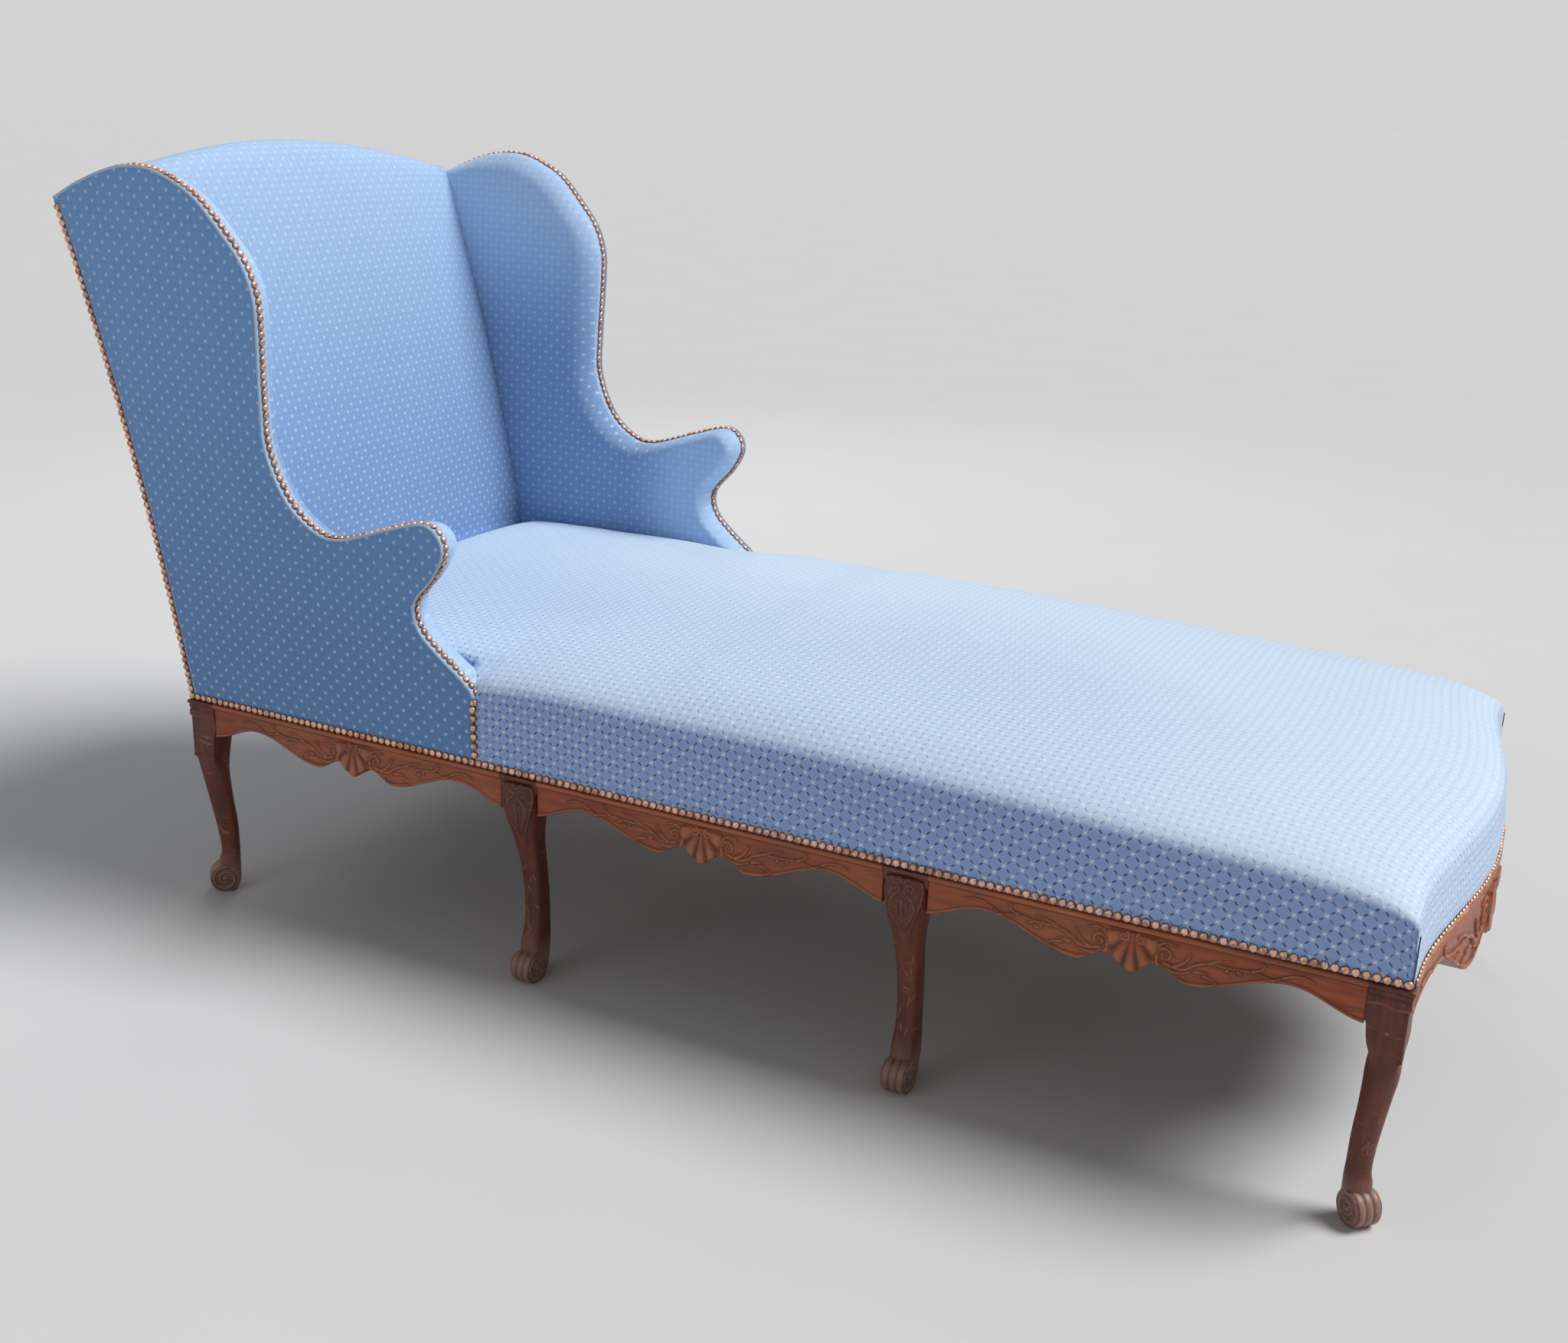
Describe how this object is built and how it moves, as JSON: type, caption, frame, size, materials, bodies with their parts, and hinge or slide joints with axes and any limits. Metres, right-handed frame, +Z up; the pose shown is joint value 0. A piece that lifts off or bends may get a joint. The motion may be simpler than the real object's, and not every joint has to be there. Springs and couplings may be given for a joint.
{
  "type": "meridienne",
  "caption": "Wing-backed meridienne: long single-ended day bed with a domed sprung seat, carved apron rails, scroll-footed cabriole legs and nailed blue covers.",
  "frame": {"origin": "middle of the floor rectangle that the whole piece covers", "axes": "+X from the back to the foot end, +Y to the sitter's left, +Z up"},
  "size_m": [1.9155, 0.8606, 1.07],
  "materials": {
    "carved_rails": "polished",
    "carved_legs": "worn polish",
    "inner_frame": "sawn",
    "webbing": "woven jute",
    "dust_cloth": "woven cotton",
    "spring_steel": "plain wire",
    "canvas": "woven",
    "stuffing": "hair and wadding",
    "figured_cover": "figured weave",
    "outside_cover": "figured weave",
    "nails": "aged bronze"
  },
  "bodies": {
    "root": {"side_rail_rear_left": "carved_rails", "side_rail_middle_left": "carved_rails", "side_rail_front_left": "carved_rails", "side_rail_rear_right": "carved_rails", "side_rail_middle_right": "carved_rails", "side_rail_front_right": "carved_rails", "foot_rail": "carved_rails", "back_seat_rail": "carved_rails", "cross_bearer_rear": "inner_frame", "cross_bearer_front": "inner_frame", "rear_post_left": "carved_legs", "rear_post_right": "carved_legs", "middle_leg_rear_left": "carved_legs", "middle_leg_front_left": "carved_legs", "middle_leg_rear_right": "carved_legs", "middle_leg_front_right": "carved_legs", "foot_leg_left": "carved_legs", "foot_leg_right": "carved_legs", "side_battens_left": "inner_frame", "side_battens_right": "inner_frame", "foot_batten": "inner_frame", "back_batten": "inner_frame", "crest_rail": "inner_frame", "lower_back_rail": "inner_frame", "arm_stump_left": "inner_frame", "arm_stump_right": "inner_frame", "arm_rail_left": "inner_frame", "arm_rail_right": "inner_frame", "wing_stile_left": "inner_frame", "wing_stile_right": "inner_frame", "wing_top_left": "inner_frame", "wing_top_right": "inner_frame", "seat_webs_long": "webbing", "seat_webs_cross": "webbing", "dust_cover": "dust_cloth", "seat_springs": "spring_steel", "seat_canvas": "canvas", "seat_stuffing": "stuffing", "seat_cover": "figured_cover", "back_webs": "webbing", "back_canvas": "canvas", "back_stuffing": "stuffing", "back_cover": "figured_cover", "crest_roll": "figured_cover", "wing_canvas_left": "canvas", "wing_canvas_right": "canvas", "wing_stuffing_left": "stuffing", "wing_stuffing_right": "stuffing", "wing_cover_left": "figured_cover", "wing_cover_right": "figured_cover", "outside_panel_left": "outside_cover", "outside_panel_right": "outside_cover", "outside_back": "outside_cover", "side_rail_nails": "nails", "foot_rail_nails": "nails", "back_nails": "nails", "wing_nails": "nails"}
  },
  "joints": []
}
